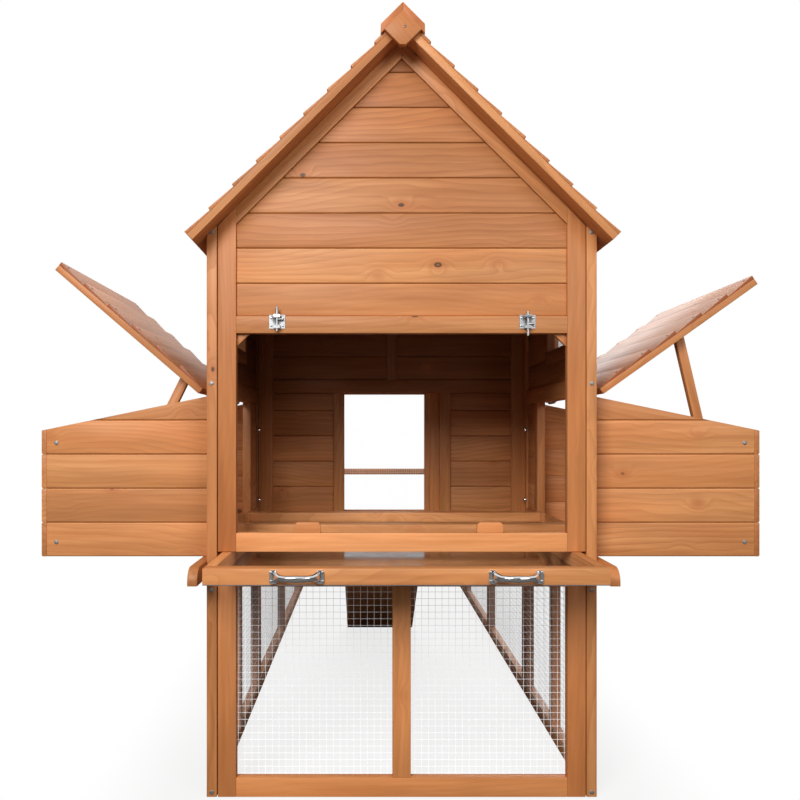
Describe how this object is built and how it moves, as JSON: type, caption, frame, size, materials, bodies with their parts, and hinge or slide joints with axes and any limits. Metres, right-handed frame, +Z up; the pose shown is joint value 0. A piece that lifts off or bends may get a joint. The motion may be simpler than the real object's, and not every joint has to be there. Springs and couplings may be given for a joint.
{
  "type": "chicken coop with run",
  "caption": "Gabled timber hen house on mesh legs with lidded nest boxes at the sides, a sliding droppings tray, a pop door with ramp and a long wire-mesh run behind.",
  "frame": {"origin": "middle of the whole footprint, on the ground", "axes": "+X across the house to the right seen from its front, +Y from the house front along the run, +Z up"},
  "size_m": [1.39, 3.287, 1.4617],
  "materials": {
    "stained_timber": "reddish stained softwood, satin",
    "wire": "galvanised welded wire",
    "zinc": "zinc plated",
    "chrome": "polished",
    "galvanised_sheet": "smooth galvanised",
    "clear_pane": "clear sheet"
  },
  "bodies": {
    "coop": {"back_boards": "stained_timber", "back_frame": "stained_timber", "bolt_plates": "zinc", "carry_rails": "stained_timber", "front_gable_boards": "stained_timber", "front_lintel": "stained_timber", "front_rakes": "stained_timber", "front_sill": "stained_timber", "front_stiles": "stained_timber", "lid_hinge_bases": "zinc", "lintel_gussets": "stained_timber", "lower_front_frame": "stained_timber", "lower_front_mesh": "wire", "nest_floors": "stained_timber", "nest_posts": "stained_timber", "nest_walls_left": "stained_timber", "nest_walls_right": "stained_timber", "perch_brackets": "stained_timber", "perches": "stained_timber", "pop_door_tracks": "stained_timber", "ramp": "stained_timber", "ridge_blocks": "stained_timber", "ridge_cap": "stained_timber", "roof_boards_left": "stained_timber", "roof_boards_right": "stained_timber", "roof_frame": "stained_timber", "run_end_frame": "stained_timber", "run_end_mesh": "wire", "run_frame_left": "stained_timber", "run_frame_right": "stained_timber", "run_top_frame": "stained_timber", "run_top_mesh": "wire", "side_boards_left": "stained_timber", "side_boards_right": "stained_timber", "side_frame_left": "stained_timber", "side_frame_right": "stained_timber", "side_mesh_left": "wire", "side_mesh_right": "wire", "sill_catches": "stained_timber", "tray_runners": "stained_timber", "vent_frames": "stained_timber", "vent_panes": "clear_pane"},
    "tray": {"tray_frame": "stained_timber", "tray_sheet": "galvanised_sheet", "tray_handle_left": "chrome", "tray_handle_right": "chrome"},
    "left_lid": {"lid_frame_left": "stained_timber", "lid_boards_left": "stained_timber", "lid_leaves_left": "zinc"},
    "right_lid": {"lid_frame_right": "stained_timber", "lid_boards_right": "stained_timber", "lid_leaves_right": "zinc"},
    "left_prop": {"prop_left": "stained_timber"},
    "right_prop": {"prop_right": "stained_timber"},
    "left_bolt": {"bolt_pin_left": "zinc"},
    "right_bolt": {"bolt_pin_right": "zinc"},
    "pop_door": {"pop_door": "stained_timber"}
  },
  "joints": [
    {"name": "tray_slide", "type": "slide", "parent": "coop", "child": "tray", "axis": [0, 1, 0], "range_m": [-0.3, 0.18]},
    {"name": "left_lid_hinge", "type": "hinge", "parent": "coop", "child": "left_lid", "pos_m": [-0.3804, -1.1555, 0.7543], "axis": [0, 1, 0], "range_deg": [-52.39, 0]},
    {"name": "right_lid_hinge", "type": "hinge", "parent": "coop", "child": "right_lid", "pos_m": [0.3804, -1.1555, 0.7543], "axis": [0, -1, 0], "range_deg": [-47.09, 0]},
    {"name": "left_prop_pivot", "type": "hinge", "parent": "left_lid", "child": "left_prop", "pos_m": [-0.4195, -1.3745, 0.78858], "axis": [0, 1, 0], "range_deg": [0, 101.6]},
    {"name": "right_prop_pivot", "type": "hinge", "parent": "right_lid", "child": "right_prop", "pos_m": [0.54299, -1.3745, 0.87076], "axis": [0, -1, 0], "range_deg": [-61.7, 0]},
    {"name": "left_bolt_slide", "type": "slide", "parent": "coop", "child": "left_bolt", "axis": [0, 0, 1], "range_m": [-0.0084, 0]},
    {"name": "right_bolt_slide", "type": "slide", "parent": "coop", "child": "right_bolt", "axis": [0, 0, 1], "range_m": [0, 0.0084]},
    {"name": "pop_door_slide", "type": "slide", "parent": "coop", "child": "pop_door", "axis": [1, 0, 0], "range_m": [-0.214, 0]}
  ],
  "couplings": [
    {"joint": "left_prop_pivot", "follows": "left_lid_hinge", "ratio": -1.937},
    {"joint": "right_prop_pivot", "follows": "right_lid_hinge", "ratio": 1.309}
  ]
}
